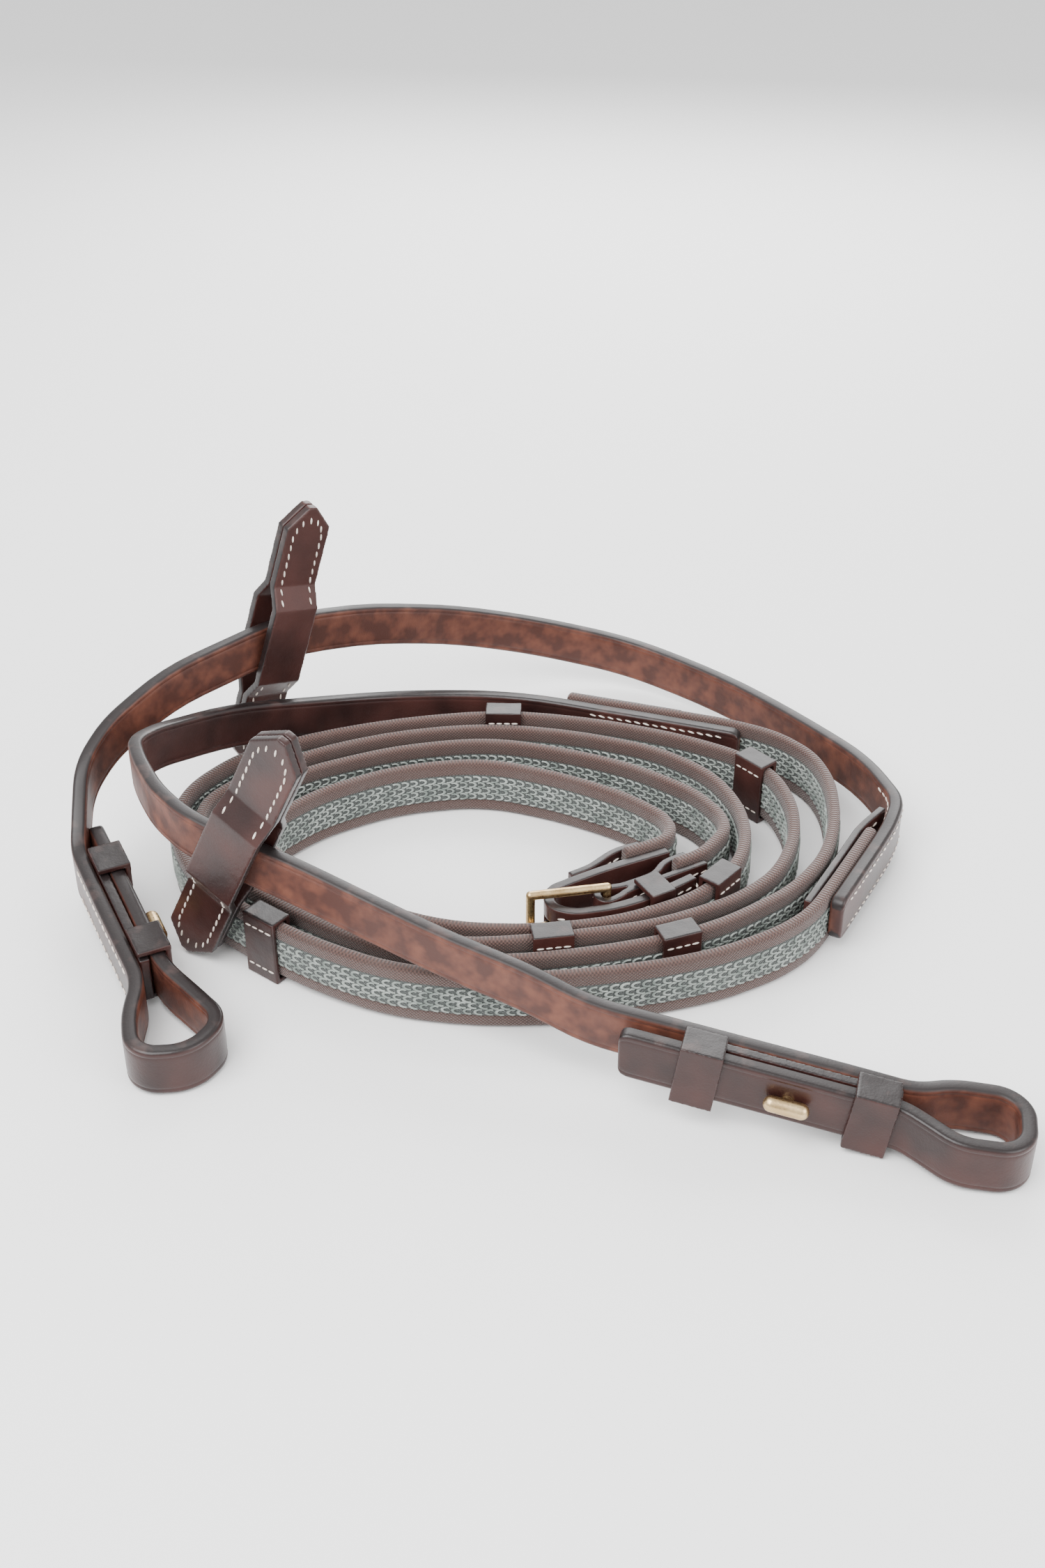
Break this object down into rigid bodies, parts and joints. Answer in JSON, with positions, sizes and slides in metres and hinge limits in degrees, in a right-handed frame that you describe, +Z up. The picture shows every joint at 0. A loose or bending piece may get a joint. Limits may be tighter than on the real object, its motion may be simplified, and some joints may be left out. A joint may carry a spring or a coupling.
{
  "type": "pair of leather reins",
  "caption": "Coiled pair of leather and web riding reins with hook stud billets, martingale stops, hand stops and a centre buckle.",
  "frame": {"origin": "on the floor under the middle of the whole footprint", "axes": "+Z up; the straps stand on their edges; +Y away from the two billet loops, +X towards rein A's billet"},
  "size_m": [0.2918, 0.2775, 0.1038],
  "materials": {
    "grain": "glossy waxed bridle leather",
    "web": "woven, with a rubbery grey grip",
    "brass": "satin"
  },
  "bodies": {
    "reins": {"rein_a_leather": "grain", "rein_b_leather": "grain", "rein_a_stud_chape": "grain", "rein_b_stud_chape": "grain", "rein_a_hook_stud": "brass", "rein_b_hook_stud": "brass", "rein_a_bit_keeper": "grain", "rein_b_bit_keeper": "grain", "rein_a_tip_keeper": "grain", "rein_b_tip_keeper": "grain", "rein_a_web": "web", "rein_b_web": "web", "rein_a_splice_backing": "grain", "rein_b_splice_backing": "grain", "rein_a_hand_stop_1": "grain", "rein_a_hand_stop_2": "grain", "rein_b_hand_stop_1": "grain", "rein_b_hand_stop_2": "grain", "rein_b_hand_stop_3": "grain", "rein_b_hand_stop_4": "grain", "rein_a_centre_billet": "grain", "rein_a_centre_backing": "grain", "rein_b_centre_chape": "grain", "rein_b_centre_keeper": "grain"},
    "stop_a": {"rein_a_stop_near_layer": "grain", "rein_a_stop_far_layer": "grain"},
    "stop_b": {"rein_b_stop_near_layer": "grain", "rein_b_stop_far_layer": "grain"},
    "frame": {"buckle_frame": "brass"},
    "prong": {"buckle_prong": "brass"}
  },
  "joints": [
    {"name": "stop_a_slide", "type": "slide", "parent": "reins", "child": "stop_a", "axis": [-0.8977, 0.3964, 0.1923], "range_m": [0, 0.008]},
    {"name": "stop_b_slide", "type": "slide", "parent": "reins", "child": "stop_b", "axis": [0.7807, 0.6239, -0.0367], "range_m": [-0.0025, 0.005]},
    {"name": "buckle_turn", "type": "hinge", "parent": "reins", "child": "frame", "pos_m": [0.0295, -0.028, 0.0123], "axis": [0, 0, 1], "range_deg": [-4, 0]},
    {"name": "prong_turn", "type": "hinge", "parent": "frame", "child": "prong", "pos_m": [0.0295, -0.028, 0.0123], "axis": [0, 0, 1], "range_deg": [0, 2]}
  ]
}
